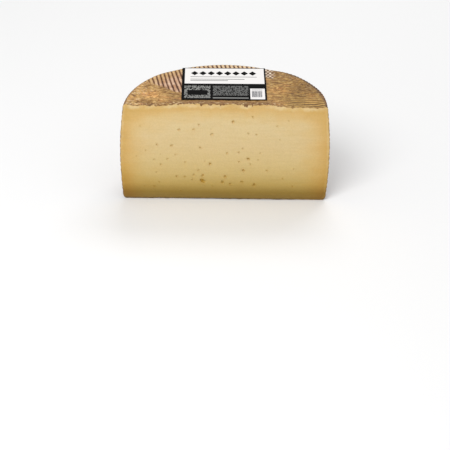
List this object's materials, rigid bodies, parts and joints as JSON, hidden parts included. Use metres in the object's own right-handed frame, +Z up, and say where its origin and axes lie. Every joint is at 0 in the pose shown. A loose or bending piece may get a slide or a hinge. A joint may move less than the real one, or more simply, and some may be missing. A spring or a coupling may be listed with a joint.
{
  "type": "half cheese wheel",
  "caption": "Half of a round firm cheese wheel, cut flat from top to bottom, with a ridged and plaited brown rind and a plain printed paper label lying on top.",
  "frame": {"origin": "on the surface the cheese stands on, in the middle of the piece's footprint box", "axes": "+Z up; -Y is the way the flat cut face looks, so +Y points to the round back; +X is to the right for someone who looks at the cut face"},
  "size_m": [0.1998, 0.095, 0.1036],
  "materials": {
    "cheese": "matte",
    "label_paper": "satin"
  },
  "bodies": {
    "root": {"cheese_half_wheel": "cheese", "paper_label": "label_paper"}
  },
  "joints": []
}
